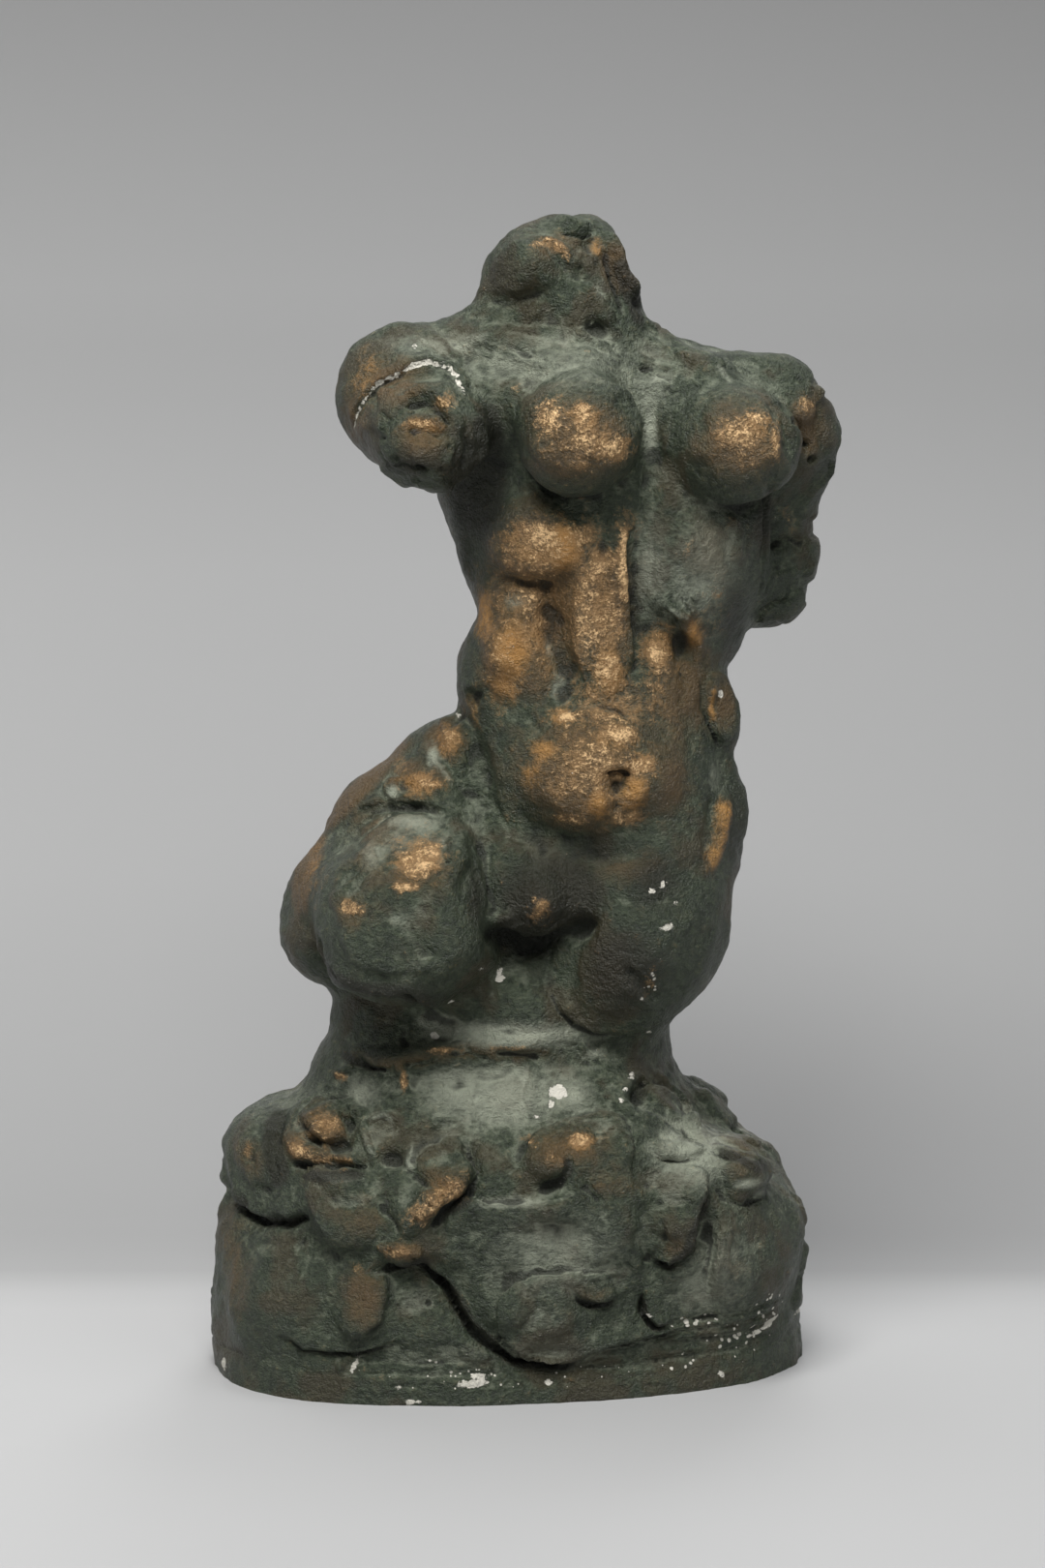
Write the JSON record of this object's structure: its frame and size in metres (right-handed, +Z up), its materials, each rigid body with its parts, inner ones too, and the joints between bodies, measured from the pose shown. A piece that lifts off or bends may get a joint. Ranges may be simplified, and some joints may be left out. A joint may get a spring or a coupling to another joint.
{
  "type": "torso sculpture",
  "caption": "Headless female torso seated on a rock, cast in plaster as one piece with its rock and painted as dark green bronze; it stands on its flat underside.",
  "frame": {"origin": "middle of the flat underside, on the surface it stands on", "axes": "+Z up through the figure, -Y out of the figure's front, +X to the right as the front is looked at"},
  "size_m": [0.2743, 0.1787, 0.5009],
  "materials": {
    "bronzed_plaster": "satin"
  },
  "bodies": {
    "root": {"torso_on_rock": "bronzed_plaster"}
  },
  "joints": []
}
